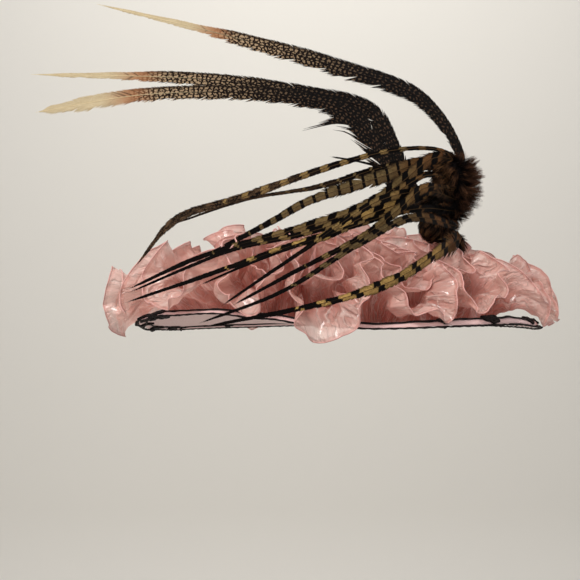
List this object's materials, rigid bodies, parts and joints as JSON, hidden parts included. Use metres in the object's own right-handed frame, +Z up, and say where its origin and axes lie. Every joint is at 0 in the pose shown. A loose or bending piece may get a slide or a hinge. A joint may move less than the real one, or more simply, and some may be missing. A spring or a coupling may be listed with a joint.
{
  "type": "wide-brim hat",
  "caption": "Wide-brim dress hat heaped with gathered organza ruffles, its edge trimmed with lace, with a side tuft of long tail plumes and barred feathers.",
  "frame": {"origin": "centre of the head opening in the plane of the brim, where a head wears the hat", "axes": "+Z up through the crown, -Y towards the front, +X towards the wearer's left, the side of the feather tuft"},
  "size_m": [0.6777, 0.6238, 0.4271],
  "materials": {
    "brim_cloth": "smooth pink cloth-covered brim and crown",
    "ruffle_organza": "crisp pink organza with a soft sheen",
    "lace_cord": "matt black lace cord",
    "plume_feather": "dark brown tail feather with cream flecks and a tan tip",
    "barred_feather": "olive gold feather with black bars",
    "tuft_fluff": "black brown fluff with reddish brown ends"
  },
  "bodies": {
    "root": {"brim": "brim_cloth", "crown": "brim_cloth", "edge_braid": "lace_cord", "lace_top": "lace_cord", "lace_under": "lace_cord", "outer_ruffle_1": "ruffle_organza", "outer_ruffle_2": "ruffle_organza", "outer_ruffle_3": "ruffle_organza", "outer_ruffle_4": "ruffle_organza", "outer_ruffle_5": "ruffle_organza", "outer_ruffle_6": "ruffle_organza", "middle_ruffle_1": "ruffle_organza", "middle_ruffle_2": "ruffle_organza", "middle_ruffle_3": "ruffle_organza", "middle_ruffle_4": "ruffle_organza", "middle_ruffle_5": "ruffle_organza", "inner_ruffle_1": "ruffle_organza", "inner_ruffle_2": "ruffle_organza", "inner_ruffle_3": "ruffle_organza", "inner_ruffle_4": "ruffle_organza", "inner_ruffle_5": "ruffle_organza", "crown_ruffle_1": "ruffle_organza", "crown_ruffle_2": "ruffle_organza", "crown_rosette_1": "ruffle_organza", "barred_feather_1": "barred_feather", "barred_feather_2": "barred_feather", "barred_feather_3": "barred_feather", "barred_feather_4": "barred_feather", "barred_feather_5": "barred_feather", "barred_feather_6": "barred_feather", "barred_feather_7": "barred_feather", "barred_feather_8": "barred_feather", "barred_feather_9": "barred_feather", "barred_feather_10": "barred_feather", "barred_feather_11": "barred_feather", "barred_feather_12": "barred_feather", "tail_plume_high": "plume_feather", "tail_plume_middle": "plume_feather", "tail_plume_low": "plume_feather", "feather_tuft": "tuft_fluff", "quill_stem": "plume_feather"}
  },
  "joints": []
}
